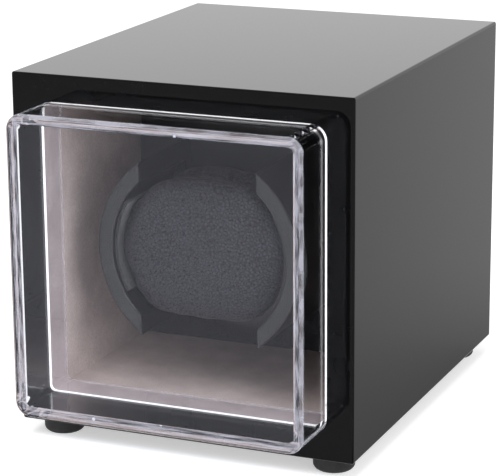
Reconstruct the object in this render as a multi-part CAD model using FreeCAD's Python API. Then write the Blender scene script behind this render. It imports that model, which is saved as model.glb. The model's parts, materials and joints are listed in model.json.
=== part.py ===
import FreeCAD, Part
import math
import os

# A single watch winder: a lacquered box with a clear cover on its front, a velvet chamber, a turning cradle
# with a soft pillow, and a gear train with its motor behind a bulkhead.
# Frame: X to the right, Y to the back, Z up, origin under the middle of the whole object. Lengths are in mm.
# A depth is measured back from the box's front face, and the cradle's axis runs along Y.

# Case boards
box_width = 112.0
box_height = 112.0
box_depth = 137.0
board_thickness = 7.0
frame_thickness = 6.5
edge_round = 0.7
rim_round = 0.5

# Feet
foot_height = 5.5
foot_radius = 6.5
foot_tread_radius = 4.6
foot_inset_x = 9.8
foot_inset_y = 9.5
foot_screw_recess = 2.6
foot_recess_radius = 3.0

# Velvet lining
lining_thickness = 2.4
collar_thickness = 0.8
collar_setback = 0.4
collar_depth = 10.0
lining_back_thickness = 2.0
opening_corner = 4.0

# Clear cover
cover_proud = 20.0
cover_lap = 0.9
cover_panel = 2.0
cover_edge_round = 0.9
cover_seat_gap = 0.15
skirt_length = 9.8
skirt_wall = 1.2
skirt_gap = 0.3

# Rear bay
bulkhead_thickness = 5.0
bay_depth = 46.5
rear_cover_thickness = 3.0
rear_recess = 10.0
rear_cover_gap = 0.2
corner_block_side = 10.0
corner_block_length = 18.0

# Turning cradle
cradle_radius = 34.0
cheek_thickness = 5.0
cheek_depth = 39.0
strap_width = 39.0
strap_gap = 5.0
cradle_floor = 3.0
cheek_round = 0.7
grip_pad_thickness = 1.0
grip_pad_length = 26.0
grip_pad_angle = 30.0
grip_pad_setback = 1.7

# Pillow
pillow_proud = 2.0
pillow_gap = 0.4
pillow_half_height = 22.0
pillow_corner = 9.0
pillow_base_thickness = 2.0
pillow_base_inset = 4.0
pillow_seat_gap = 0.3
# Each pair is a share of the pillow's thickness from its face, and how far its edge is drawn in there.
pillow_profile = ((0.0, 13.0), (0.025, 8.5), (0.09, 3.6), (0.2, 0.5), (0.32, 0.0), (0.55, 0.9), (0.78, 0.0),
                  (0.9, 0.7), (1.0, 3.0))

# Shaft, hub and bushes
shaft_radius = 3.0
shaft_tail = 2.5
running_gap = 0.03
press_gap = 0.01
end_play = 0.05
hub_flange_radius = 13.0
hub_flange_thickness = 3.0
hub_boss_radius = 7.0
hub_boss_length = 12.1
hub_screw_circle = 10.0
bush_wall = 2.0
bush_flange_lip = 2.5
bush_flange_thickness = 1.5
washer_thickness = 0.8
washer_radius = 6.0
clip_thickness = 0.8
clip_radius = 5.0
clip_groove = 0.5
shaft_hole_gap = 1.5

# Gear train
gear_module = 0.8
pressure_angle = 25.0
tooth_root = 1.25
output_teeth = 60
idler_pinion_teeth = 12
idler_wheel_teeth = 48
motor_teeth = 12
mesh_gap = 0.1
tooth_thinning = 0.075
gear_front_gap = 2.0
output_face = 4.5
pinion_overhang = 0.5
wheel_gap = 1.5
wheel_face = 3.5
gear_boss_length = 5.0
idler_pin_radius = 1.5
idler_boss_radius = 2.8
idler_angle = -45.0

# Gear plate
plate_gap = 3.0
plate_thickness = 2.5
plate_border = 6.0
post_radius = 3.5
post_gap = 2.7
post_left_angle = 165.0
post_right_angle = 25.0
post_motor_angle = 215.0
post_spigot_radius = 2.0
post_spigot_length = 4.0

# Motor
motor_radius = 14.0
motor_length = 20.0
motor_boss_radius = 3.0
motor_boss_length = 1.8
motor_shaft_radius = 1.0
motor_shaft_hidden = 9.5
motor_cap_length = 3.0
motor_cap_step = 0.5
motor_screw_circle = 9.5
terminal_width = 3.0
terminal_thickness = 0.6
terminal_length = 3.0
terminal_spread = 5.0
terminal_rise = 6.0
lead_radius = 0.6
lead_bend = 3.0

# Circuit board and controls
pcb_width = 72.0
pcb_height = 28.0
pcb_thickness = 1.6
pcb_standoff = 10.4
pcb_rise = 12.0
pcb_boss_radius = 3.2
pcb_boss_inset = 3.6
control_spread = 18.0
jack_side = 9.0
jack_nose_radius = 4.0
jack_bore_radius = 2.8
jack_bore_depth = 9.0
jack_pin_radius = 1.0
jack_pin_setback = 1.5
jack_pin_root = 1.0
switch_side = 14.0
switch_depth = 7.4
switch_bush_radius = 4.5
knob_radius = 7.5
knob_height = 7.2
knob_gap = 0.6
knob_stem_radius = 3.0
knob_round = 0.8
knob_stem_length = 12.0
knob_pointer_width = 1.4
knob_pointer_depth = 0.6
knob_flutes = 16
knob_flute_radius = 0.7
control_hole_gap = 0.4
chip_width = 6.0
chip_height = 5.0
chip_thickness = 1.6
capacitor_radius = 3.2
capacitor_length = 8.0
capacitor_shift = 14.0

# Screws, each as shank radius, head radius, head height and length under the head
screw_gap = 0.05
foot_screw = (1.4, 2.5, 1.8, 8.0)
hub_screw = (1.25, 2.4, 1.5, 4.2)
plate_screw = (1.25, 2.7, 1.6, 9.0)
motor_screw = (1.25, 2.2, 1.4, 6.5)
board_screw = (1.0, 2.0, 1.3, 7.0)
rear_screw = (1.5, 3.0, 2.0, 12.0)
grub_radius = 1.45

# Places worked out from the sizes
front_y = (cover_proud - box_depth) / 2
half_width = box_width / 2
half_height = box_height / 2
axis_z = foot_height + half_height
inner_x = half_width - board_thickness
inner_z = half_height - board_thickness
opening_x = inner_x - lining_thickness
opening_z = inner_z - lining_thickness
rear_cover_out = box_depth - rear_recess
rear_cover_in = rear_cover_out - rear_cover_thickness
bulkhead_rear = rear_cover_in - bay_depth
bulkhead_front = bulkhead_rear - bulkhead_thickness
chamber_back = bulkhead_front - lining_back_thickness
cheek_inner_radius = cradle_radius - cheek_thickness
pillow_radius = cheek_inner_radius - grip_pad_thickness - pillow_gap
bush_front = bulkhead_front - bush_flange_thickness
washer_front = bush_front - end_play - washer_thickness
hub_back = washer_front - end_play
hub_flange_back = hub_back - hub_boss_length
cradle_back = hub_flange_back - hub_flange_thickness
cradle_floor_front = cradle_back - cradle_floor
cradle_front = cradle_floor_front - cheek_depth
ledge_front = cradle_floor_front - strap_gap
pillow_base_back = ledge_front - pillow_seat_gap
pillow_back = pillow_base_back - pillow_base_thickness
pillow_front = cradle_front - pillow_proud
bush_radius = shaft_radius + running_gap + bush_wall
bush_flange_radius = bush_radius + bush_flange_lip
output_radius = gear_module * output_teeth / 2
wheel_radius = gear_module * idler_wheel_teeth / 2
idler_pinion_radius = gear_module * idler_pinion_teeth / 2
motor_pinion_radius = gear_module * motor_teeth / 2
idler_distance = output_radius + idler_pinion_radius + mesh_gap
motor_distance = wheel_radius + motor_pinion_radius + mesh_gap
idler_x = idler_distance * math.cos(math.radians(idler_angle))
idler_z = axis_z + idler_distance * math.sin(math.radians(idler_angle))
motor_x = idler_x - motor_distance
motor_z = idler_z
output_front = bulkhead_rear + gear_front_gap
output_back = output_front + output_face
wheel_front = output_back + wheel_gap
wheel_back = wheel_front + wheel_face
plate_front = wheel_back + plate_gap
plate_back = plate_front + plate_thickness
motor_pinion_front = wheel_front - pinion_overhang
motor_pinion_back = wheel_back + pinion_overhang
motor_back = plate_back + motor_length
motor_cap_back = motor_back + motor_cap_length
clip_front = plate_back + end_play
pcb_back = rear_cover_in - pcb_standoff
pcb_front = pcb_back - pcb_thickness
pcb_bottom = axis_z + pcb_rise
pcb_top = pcb_bottom + pcb_height
control_z = pcb_bottom + pcb_height / 2
jack_x = -control_spread
switch_x = control_spread
foot_x = half_width - foot_inset_x
foot_depths = {"front": foot_inset_y, "rear": box_depth - foot_inset_y}
sides = {"left": -1, "right": 1}


def at(x, depth, z):
    """Point at a depth behind the box's front face."""
    return FreeCAD.Vector(x, front_y + depth, z)


def block(x0, x1, depth0, depth1, z0, z1):
    """Plain block between two corners."""
    return Part.makeBox(x1 - x0, depth1 - depth0, z1 - z0, at(x0, depth0, z0))


def rod(radius, depth0, depth1, x=0.0, z=axis_z):
    """Round bar along Y."""
    return Part.makeCylinder(radius, depth1 - depth0, at(x, depth0, z), FreeCAD.Vector(0, 1, 0))


def tube(outer, inner, depth0, depth1, x=0.0, z=axis_z):
    """Round tube along Y."""
    return rod(outer, depth0, depth1, x, z).cut(rod(inner, depth0, depth1, x, z))


def edges_along_depth(shape):
    """Straight edges that run along Y."""
    return [e for e in shape.Edges if abs(e.Vertexes[0].Y - e.Vertexes[-1].Y) > 0.5 * shape.BoundBox.YLength]


def edges_at(shape, depth):
    """Edges that lie in the plane at one depth."""
    y = front_y + depth
    return [e for e in shape.Edges if abs(e.BoundBox.YMin - y) < 1e-4 and abs(e.BoundBox.YMax - y) < 1e-4]


def soft_block(half_x, half_z, corner, depth0, depth1):
    """Block round the cradle's axis with its four lengthwise edges rounded."""
    shape = block(-half_x, half_x, depth0, depth1, axis_z - half_z, axis_z + half_z)
    return shape.makeFillet(corner, edges_along_depth(shape))


def rim(outer_x, outer_z, corner, wall, depth0, depth1):
    """Square ring of one wall thickness round the cradle's axis."""
    outer = soft_block(outer_x, outer_z, corner, depth0, depth1)
    return outer.cut(soft_block(outer_x - wall, outer_z - wall, corner - wall, depth0, depth1))


def around(angle, radius, x=0.0, z=axis_z):
    """Point in the XZ plane at an angle in degrees and a radius from a centre."""
    turn = math.radians(angle)
    return x + radius * math.cos(turn), z + radius * math.sin(turn)


def screw(sizes, seat, x, z, facing):
    """Screw along Y with its head's underside at the seat: facing 1 has its head to the back."""
    shank, head, height, length = sizes
    body = rod(shank, min(seat, seat - facing * length), max(seat, seat - facing * length), x, z)
    return body.fuse(rod(head, min(seat, seat + facing * height), max(seat, seat + facing * height), x, z))


def screw_hole(sizes, seat, x, z, facing):
    """Hole for the shank of such a screw, a little longer than the shank."""
    length = sizes[3] + screw_gap
    ends = sorted((seat, seat - facing * length))
    return rod(sizes[0] + screw_gap, ends[0], ends[1], x, z)


def gear(teeth, depth0, depth1, x, z, tooth_at):
    """Spur gear with involute flanks and one tooth centred at an angle in degrees."""
    pitch = gear_module * teeth / 2
    flat = math.radians(pressure_angle)
    base = pitch * math.cos(flat)
    tip = pitch + gear_module
    root = pitch - tooth_root * gear_module
    start = max(base, root)
    half_pitch = math.pi / (2 * teeth) - tooth_thinning / (2 * pitch)
    steps = 5

    def half_angle(radius):
        turn = math.acos(min(1.0, base / radius))
        return half_pitch + math.tan(flat) - flat - math.tan(turn) + turn

    def point(radius, angle):
        return at(x + radius * math.cos(angle), depth0, z + radius * math.sin(angle))

    def arc(radius, angle0, angle1):
        ends = point(radius, angle0), point(radius, (angle0 + angle1) / 2), point(radius, angle1)
        return Part.Arc(*ends).toShape()

    def flank(radii, middle, side):
        curve = Part.BSplineCurve()
        curve.interpolate([point(r, middle + side * half_angle(r)) for r in radii])
        return curve.toShape()

    radii = [start + (tip - start) * i / steps for i in range(steps + 1)]
    edges = []
    for i in range(teeth):
        middle = math.radians(tooth_at) + 2 * math.pi * i / teeth
        following = middle + 2 * math.pi / teeth
        foot = half_angle(start)
        if root < base:
            edges.append(Part.LineSegment(point(root, middle - foot), point(start, middle - foot)).toShape())
        edges.append(flank(radii, middle, -1))
        edges.append(arc(tip, middle - half_angle(tip), middle + half_angle(tip)))
        edges.append(flank(radii[::-1], middle, 1))
        if root < base:
            edges.append(Part.LineSegment(point(start, middle + foot), point(root, middle + foot)).toShape())
        edges.append(arc(root, middle + foot, following - foot))
    return Part.Face(Part.Wire(edges)).extrude(FreeCAD.Vector(0, depth1 - depth0, 0))


# Lacquered case

def case_envelope():
    """Outside of the box, with its long edges and both rims rounded."""
    shape = soft_block(half_width, half_height, edge_round, 0, box_depth)
    return shape.makeFillet(rim_round, edges_at(shape, 0) + edges_at(shape, box_depth))


def front_frame():
    outside = case_envelope().common(block(-half_width, half_width, 0, frame_thickness, foot_height,
                                           foot_height + box_height))
    return outside.cut(soft_block(opening_x, opening_z, opening_corner, 0, frame_thickness))


def case_boards():
    """Four mitred boards behind the front frame, by name."""
    outer = [(-half_width, -half_height), (half_width, -half_height),
             (half_width, half_height), (-half_width, half_height)]
    inner = [(-inner_x, -inner_z), (inner_x, -inner_z), (inner_x, inner_z), (-inner_x, inner_z)]
    envelope = case_envelope()
    boards = {}
    for i, side in enumerate(("bottom", "right", "top", "left")):
        j = (i + 1) % 4
        corners = [outer[i], outer[j], inner[j], inner[i], outer[i]]
        wire = Part.makePolygon([at(x, frame_thickness, axis_z + z) for x, z in corners])
        slab = Part.Face(wire).extrude(FreeCAD.Vector(0, box_depth - frame_thickness, 0))
        boards[side + "_board"] = slab.common(envelope)
    for x, depth in foot_places().values():
        boards["bottom_board"] = boards["bottom_board"].cut(foot_screw_shape(x, depth, screw_gap))
    return boards


def foot_places():
    """Middle of each foot, as x and depth, by the foot's name."""
    return {"foot_%s_%s" % (end, side): (sign * foot_x, depth)
            for end, depth in foot_depths.items() for side, sign in sides.items()}


def foot(x, depth):
    """Rubber foot with a domed rim and a recess for its screw."""
    bulge = foot_radius - foot_tread_radius
    outline = [Part.LineSegment(at(x, depth, 0), at(x + foot_tread_radius, depth, 0)).toShape(),
               Part.Arc(at(x + foot_tread_radius, depth, 0),
                        at(x + foot_tread_radius + bulge * math.sin(math.pi / 4), depth,
                           bulge * (1 - math.cos(math.pi / 4))),
                        at(x + foot_radius, depth, bulge)).toShape(),
               Part.LineSegment(at(x + foot_radius, depth, bulge),
                                at(x + foot_radius, depth, foot_height)).toShape(),
               Part.LineSegment(at(x + foot_radius, depth, foot_height), at(x, depth, foot_height)).toShape(),
               Part.LineSegment(at(x, depth, foot_height), at(x, depth, 0)).toShape()]
    face = Part.Face(Part.Wire(outline))
    body = face.revolve(at(x, depth, 0), FreeCAD.Vector(0, 0, 1), 360)
    recess = Part.makeCylinder(foot_recess_radius, foot_screw_recess, at(x, depth, 0))
    return body.cut(recess).cut(foot_screw_shape(x, depth, screw_gap))


def foot_screw_shape(x, depth, gap):
    """Upright screw in a foot: its head sits in the recess and its shank goes up into the bottom board."""
    shank, head, height, length = foot_screw
    body = Part.makeCylinder(shank + gap, length + gap, at(x, depth, foot_screw_recess))
    return body.fuse(Part.makeCylinder(head + gap, height, at(x, depth, foot_screw_recess - height)))


# Velvet chamber

def lining_collar():
    """Velvet strip round the opening, which laps over the joint between the frame and the lining boards."""
    return rim(opening_x, opening_z, opening_corner, collar_thickness, collar_setback, collar_depth)


def lining_boards():
    """Velvet-covered boards round the chamber, by name."""
    low, high = axis_z - inner_z, axis_z + inner_z
    ends = frame_thickness, chamber_back
    return {
        "lining_bottom": block(-inner_x, inner_x, *ends, low, low + lining_thickness),
        "lining_top": block(-inner_x, inner_x, *ends, high - lining_thickness, high),
        "lining_left": block(-inner_x, -opening_x, *ends, low + lining_thickness, high - lining_thickness),
        "lining_right": block(opening_x, inner_x, *ends, low + lining_thickness, high - lining_thickness),
    }


def lining_back():
    board = block(-inner_x, inner_x, chamber_back, bulkhead_front, axis_z - inner_z, axis_z + inner_z)
    return board.cut(rod(bush_flange_radius + shaft_hole_gap, chamber_back, bulkhead_front))


# Clear cover

def acrylic_cover():
    """Shallow open box with a thinner skirt that plugs into the velvet collar."""
    outer = soft_block(opening_x + cover_lap, opening_z + cover_lap, opening_corner + cover_lap,
                       -cover_proud, -cover_seat_gap)
    outer = outer.makeFillet(cover_edge_round, edges_at(outer, -cover_proud))
    inset = collar_thickness + skirt_gap
    skirt = soft_block(opening_x - inset, opening_z - inset, opening_corner - inset,
                       -cover_seat_gap, skirt_length)
    hollow_inset = inset + skirt_wall
    hollow = soft_block(opening_x - hollow_inset, opening_z - hollow_inset, opening_corner - hollow_inset,
                        cover_panel - cover_proud, skirt_length)
    return outer.fuse(skirt).cut(hollow).removeSplitter()


# Turning cradle and pillow

def rotor_cradle():
    """Round floor with two curved cheeks, open above and below, and a ledge that carries the pillow."""
    cheeks = tube(cradle_radius, cheek_inner_radius, cradle_front, cradle_floor_front)
    ledges = rod(cheek_inner_radius, ledge_front, cradle_floor_front)
    strap_way = block(-strap_width / 2, strap_width / 2, cradle_front, cradle_floor_front,
                      axis_z - cradle_radius, axis_z + cradle_radius)
    cheeks = cheeks.fuse(ledges).cut(strap_way)
    cheeks = cheeks.makeFillet(cheek_round, edges_at(cheeks, cradle_front))
    floor = rod(cradle_radius, cradle_floor_front, cradle_back)
    cradle = cheeks.fuse(floor).removeSplitter()
    for x, z in hub_screw_places():
        cradle = cradle.cut(screw_hole(hub_screw, hub_screw_seat(), x, z, -1))
        cradle = cradle.cut(rod(hub_screw[1] + screw_gap, cradle_floor_front, hub_screw_seat(), x, z))
    return cradle


def grip_pad(sign):
    """Felt pad on the inside of one cheek."""
    depth0 = cradle_front + grip_pad_setback
    inner = cheek_inner_radius - grip_pad_thickness
    shape = tube(cheek_inner_radius, inner, depth0, depth0 + grip_pad_length)
    reach = cradle_radius * math.tan(math.radians(grip_pad_angle))
    wedge = Part.makePolygon([at(0, depth0, axis_z), at(sign * cradle_radius, depth0, axis_z - reach),
                              at(sign * cradle_radius, depth0, axis_z + reach), at(0, depth0, axis_z)])
    return shape.common(Part.Face(wedge).extrude(FreeCAD.Vector(0, grip_pad_length, 0)))


def pillow_outline(radius, half_tall, corner, depth):
    """Outline of the pillow at one depth: round sides, flat top and bottom, round corners between them."""
    tall = half_tall - corner
    across = math.sqrt((radius - corner) ** 2 - tall ** 2)
    lean = math.atan2(tall, across)

    def point(x, z):
        return at(x, depth, axis_z + z)

    def corner_point(sign_x, sign_z, angle):
        return point(sign_x * (across + corner * math.cos(angle)), sign_z * (tall + corner * math.sin(angle)))

    half = (lean + math.pi / 2) / 2
    edges = []
    for sign_x, sign_z in ((1, -1), (1, 1), (-1, 1), (-1, -1)):
        angles = [math.pi / 2, half, lean]
        if sign_x * sign_z > 0:
            angles.reverse()
        edges.append(Part.Arc(*[corner_point(sign_x, sign_z, a) for a in angles]).toShape())
        if sign_z * sign_x < 0:
            edges.append(Part.Arc(corner_point(sign_x, sign_z, lean), point(sign_x * radius, 0),
                                  corner_point(sign_x, -sign_z, lean)).toShape())
        else:
            edges.append(Part.LineSegment(point(sign_x * across, sign_z * half_tall),
                                          point(-sign_x * across, sign_z * half_tall)).toShape())
    return Part.Wire(edges)


def pillow_cushion():
    """Soft pillow: crowned face, full edge, sides drawn in at the middle and a tucked back."""
    thickness = pillow_back - pillow_front
    sections = [pillow_outline(pillow_radius - tuck, pillow_half_height - tuck,
                               pillow_corner * (1 - tuck / pillow_half_height),
                               pillow_front + share * thickness)
                for share, tuck in pillow_profile]
    return Part.makeLoft(sections, True, False)


def pillow_base():
    """Stiff plate sewn under the pillow, which sits on the cradle's ledges."""
    wire = pillow_outline(pillow_radius - pillow_base_inset, pillow_half_height - pillow_base_inset,
                          pillow_corner, pillow_back)
    return Part.Face(wire).extrude(FreeCAD.Vector(0, pillow_base_thickness, 0))


# Hub, shaft and bushes

def hub_screw_places():
    return [around(90 + 120 * i, hub_screw_circle) for i in range(3)]


def hub_screw_seat():
    return cradle_floor_front + hub_screw[2]


def hub_grub_depth():
    return (hub_flange_back + hub_back) / 2


def gear_grub_depth():
    return output_back + gear_boss_length / 2


def grub(depth, boss, gap):
    """Grub screw from the side of a boss down to the shaft."""
    start = shaft_radius + press_gap
    across = FreeCAD.Vector(1, 0, 0)
    return Part.makeCylinder(grub_radius + gap, boss - start, at(start, depth, axis_z), across)


def rotor_hub():
    hub = rod(hub_flange_radius, cradle_back, hub_flange_back)
    hub = hub.fuse(rod(hub_boss_radius, hub_flange_back, hub_back))
    hub = hub.removeSplitter().cut(rod(shaft_radius + press_gap, hub_flange_back, hub_back))
    for x, z in hub_screw_places():
        hub = hub.cut(screw_hole(hub_screw, hub_screw_seat(), x, z, -1))
    return hub.cut(grub(hub_grub_depth(), hub_boss_radius, screw_gap))


def drive_shaft():
    shaft_back = clip_front + clip_thickness + shaft_tail
    shaft = rod(shaft_radius, hub_flange_back, shaft_back)
    return shaft.cut(tube(clip_radius, shaft_radius - clip_groove, clip_front, clip_front + clip_thickness))


def flanged_bush(front, back):
    """Bush with its flange ahead of the board that it sits in."""
    flange = rod(bush_flange_radius, front - bush_flange_thickness, front)
    bush = rod(bush_radius, front, back).fuse(flange).removeSplitter()
    return bush.cut(rod(shaft_radius + running_gap, front - bush_flange_thickness, back))


def bulkhead():
    board = block(-inner_x, inner_x, bulkhead_front, bulkhead_rear, axis_z - inner_z, axis_z + inner_z)
    board = board.cut(rod(bush_radius + press_gap, bulkhead_front, bulkhead_rear))
    board = board.cut(rod(idler_pin_radius + press_gap, bulkhead_rear - post_spigot_length, bulkhead_rear,
                          idler_x, idler_z))
    for x, z in post_places():
        board = board.cut(rod(post_spigot_radius + press_gap, bulkhead_rear - post_spigot_length,
                              bulkhead_rear, x, z))
    return board


# Gear train and motor

def output_gear():
    wheel = gear(output_teeth, output_front, output_back, 0, axis_z, idler_angle)
    wheel = wheel.fuse(rod(hub_boss_radius, output_back, output_back + gear_boss_length))
    wheel = wheel.cut(rod(shaft_radius + press_gap, output_front, output_back + gear_boss_length))
    return wheel.cut(grub(gear_grub_depth(), hub_boss_radius, screw_gap))


def idler_gear():
    """Compound gear: a pinion in mesh with the output gear and a wheel in mesh with the motor pinion."""
    gap_turn = idler_angle + 180 + 180 / idler_pinion_teeth
    pinion = gear(idler_pinion_teeth, output_front - pinion_overhang, wheel_front, idler_x, idler_z, gap_turn)
    wheel = gear(idler_wheel_teeth, wheel_front, wheel_back, idler_x, idler_z, 180)
    front = bulkhead_rear + pinion_overhang
    back = plate_front - pinion_overhang
    boss = rod(idler_boss_radius, front, back, idler_x, idler_z)
    return pinion.fuse([wheel, boss]).cut(rod(idler_pin_radius + running_gap, front, back, idler_x, idler_z))


def motor_pinion():
    pinion = gear(motor_teeth, motor_pinion_front, motor_pinion_back, motor_x, motor_z, 180 / motor_teeth)
    bore = motor_shaft_radius + press_gap
    return pinion.cut(rod(bore, motor_pinion_front, motor_pinion_back, motor_x, motor_z))


def idler_pin():
    return rod(idler_pin_radius, bulkhead_rear - post_spigot_length, plate_back, idler_x, idler_z)


def post_places():
    """Middles of the four posts, in order round the plate: they stand clear of the gears and the motor."""
    by_output = output_radius + gear_module + post_radius + post_gap
    by_wheel = wheel_radius + gear_module + post_radius + post_gap
    by_motor = motor_radius + post_radius + post_gap
    return [around(post_left_angle, by_output), around(post_right_angle, by_output),
            around(idler_angle, by_wheel, idler_x, idler_z),
            around(post_motor_angle, by_motor, motor_x, motor_z)]


def gear_plate():
    """Plate across the posts that carries the rear bush, the idler's pin and the motor."""
    places = post_places()
    wire = Part.makePolygon([at(x, plate_front, z) for x, z in places + places[:1]])
    outline = Part.Face(wire).makeOffset2D(plate_border)
    plate = outline.extrude(FreeCAD.Vector(0, plate_thickness, 0))
    plate = plate.cut(rod(bush_radius + press_gap, plate_front, plate_back))
    plate = plate.cut(rod(idler_pin_radius + press_gap, plate_front, plate_back, idler_x, idler_z))
    plate = plate.cut(rod(motor_boss_radius + screw_gap, plate_front, plate_back, motor_x, motor_z))
    for x, z in places:
        plate = plate.cut(screw_hole(plate_screw, plate_back, x, z, 1))
    for x, z in motor_screw_places():
        plate = plate.cut(screw_hole(motor_screw, plate_front, x, z, -1))
    return plate


def plate_post(x, z):
    post = rod(post_radius, bulkhead_rear, plate_front, x, z)
    post = post.fuse(rod(post_spigot_radius, bulkhead_rear - post_spigot_length, bulkhead_rear, x, z))
    return post.removeSplitter().cut(screw_hole(plate_screw, plate_back, x, z, 1))


def motor_screw_places():
    return [(motor_x + sign * motor_screw_circle, motor_z) for sign in (-1, 1)]


def motor_can():
    can = rod(motor_radius, plate_back, motor_back, motor_x, motor_z)
    can = can.makeFillet(rim_round, edges_at(can, motor_back))
    can = can.fuse(rod(motor_boss_radius, plate_back - motor_boss_length, plate_back, motor_x, motor_z))
    can = can.removeSplitter().cut(rod(motor_shaft_radius + running_gap, plate_back - motor_boss_length,
                                       plate_back + motor_shaft_hidden + end_play, motor_x, motor_z))
    for x, z in motor_screw_places():
        can = can.cut(screw_hole(motor_screw, plate_front, x, z, -1))
    return can


def motor_end_cap():
    cap = rod(motor_radius - rim_round - motor_cap_step, motor_back, motor_cap_back, motor_x, motor_z)
    return cap.makeFillet(motor_cap_step, edges_at(cap, motor_cap_back))


def terminal_places():
    """Middle of each of the motor's two terminals, as x and z."""
    return [(motor_x + sign * terminal_spread, motor_z + terminal_rise) for sign in (-1, 1)]


def terminal(x, z):
    half = terminal_width / 2
    return block(x - half, x + half, motor_cap_back, motor_cap_back + terminal_length,
                 z - terminal_thickness / 2, z + terminal_thickness / 2)


def motor_lead(x, z):
    """Insulated lead: up from a terminal, then round one bend onto the back of the circuit board."""
    depth = motor_cap_back + terminal_length / 2
    start = at(x, depth, z + terminal_thickness / 2)
    top = pcb_bottom + lead_bend + lead_radius
    level = top - lead_bend
    inset = lead_bend * (1 - math.cos(math.pi / 4))
    up = Part.LineSegment(start, at(x, depth, level)).toShape()
    turn = Part.Arc(at(x, depth, level), at(x, depth - inset, top - inset),
                    at(x, depth - lead_bend, top)).toShape()
    across = Part.LineSegment(at(x, depth - lead_bend, top), at(x, pcb_back, top)).toShape()
    ring = Part.Wire(Part.makeCircle(lead_radius, start, FreeCAD.Vector(0, 0, 1)))
    return Part.Wire([up, turn, across]).makePipeShell([ring], True, True)


# Circuit board, controls and rear cover

def pcb_screw_places():
    x = pcb_width / 2 - pcb_boss_inset
    levels = pcb_bottom + pcb_boss_inset, pcb_top - pcb_boss_inset
    return [(sign * x, z) for sign in (-1, 1) for z in levels]


def circuit_board():
    board = block(-pcb_width / 2, pcb_width / 2, pcb_front, pcb_back, pcb_bottom, pcb_top)
    for x, z in pcb_screw_places():
        board = board.cut(screw_hole(board_screw, pcb_front, x, z, -1))
    return board


def driver_chip():
    return block(-chip_width / 2, chip_width / 2, pcb_front - chip_thickness, pcb_front,
                 control_z - chip_height / 2, control_z + chip_height / 2)


def capacitor():
    can = rod(capacitor_radius, pcb_front - capacitor_length, pcb_front, capacitor_shift, control_z)
    return can.makeFillet(motor_cap_step, edges_at(can, pcb_front - capacitor_length))


def dc_jack():
    """Supply socket: a square body on the circuit board and a round nose level with the rear cover."""
    half = jack_side / 2
    body = block(jack_x - half, jack_x + half, pcb_back, rear_cover_in, control_z - half, control_z + half)
    body = body.fuse(rod(jack_nose_radius, rear_cover_in, rear_cover_out, jack_x, control_z)).removeSplitter()
    bottom = rear_cover_out - jack_bore_depth
    body = body.cut(rod(jack_bore_radius, bottom, rear_cover_out, jack_x, control_z))
    return body.cut(rod(jack_pin_radius + press_gap, bottom - jack_pin_root, bottom, jack_x, control_z))


def jack_pin():
    return rod(jack_pin_radius, rear_cover_out - jack_bore_depth - jack_pin_root,
               rear_cover_out - jack_pin_setback, jack_x, control_z)


def knob_stem_front():
    return rear_cover_out + knob_gap - knob_stem_length


def mode_switch():
    half = switch_side / 2
    body = block(switch_x - half, switch_x + half, pcb_back, pcb_back + switch_depth,
                 control_z - half, control_z + half)
    body = body.fuse(rod(switch_bush_radius, pcb_back + switch_depth, rear_cover_in, switch_x, control_z))
    return body.removeSplitter().cut(rod(knob_stem_radius + running_gap, knob_stem_front() - end_play,
                                         rear_cover_in, switch_x, control_z))


def mode_knob():
    """Fluted knob with a pointer groove in its face, on a stem that turns in the switch."""
    front = rear_cover_out + knob_gap
    back = front + knob_height
    knob = rod(knob_radius, front, back, switch_x, control_z)
    knob = knob.makeFillet(knob_round, edges_at(knob, back))
    for i in range(knob_flutes):
        x, z = around(360 * (i + 0.5) / knob_flutes, knob_radius, switch_x, control_z)
        knob = knob.cut(rod(knob_flute_radius, front, back, x, z))
    knob = knob.cut(block(switch_x - knob_pointer_width / 2, switch_x + knob_pointer_width / 2,
                          back - knob_pointer_depth, back, control_z, control_z + knob_radius))
    return knob.fuse(rod(knob_stem_radius, knob_stem_front(), front, switch_x, control_z)).removeSplitter()


def rear_screw_places():
    x = inner_x - corner_block_side / 2
    z = inner_z - corner_block_side / 2
    return {"%s_%s" % (level, side): (sign * x, axis_z + rise * z)
            for level, rise in (("lower", -1), ("upper", 1)) for side, sign in sides.items()}


def rear_cover():
    """Recessed back plate with bosses for the circuit board."""
    cover = block(rear_cover_gap - inner_x, inner_x - rear_cover_gap, rear_cover_in, rear_cover_out,
                  axis_z - inner_z + rear_cover_gap, axis_z + inner_z - rear_cover_gap)
    for x, z in pcb_screw_places():
        cover = cover.fuse(rod(pcb_boss_radius, pcb_back, rear_cover_in, x, z))
    cover = cover.removeSplitter()
    for x, z in pcb_screw_places():
        cover = cover.cut(screw_hole(board_screw, pcb_front, x, z, -1))
    for x, z in rear_screw_places().values():
        cover = cover.cut(screw_hole(rear_screw, rear_cover_out, x, z, 1))
    for x, radius in ((jack_x, jack_nose_radius), (switch_x, knob_stem_radius)):
        cover = cover.cut(rod(radius + control_hole_gap, rear_cover_in, rear_cover_out, x, control_z))
    return cover


def corner_block(x, z):
    half = corner_block_side / 2
    body = block(x - half, x + half, rear_cover_in - corner_block_length, rear_cover_in, z - half, z + half)
    return body.cut(screw_hole(rear_screw, rear_cover_out, x, z, 1))


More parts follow.
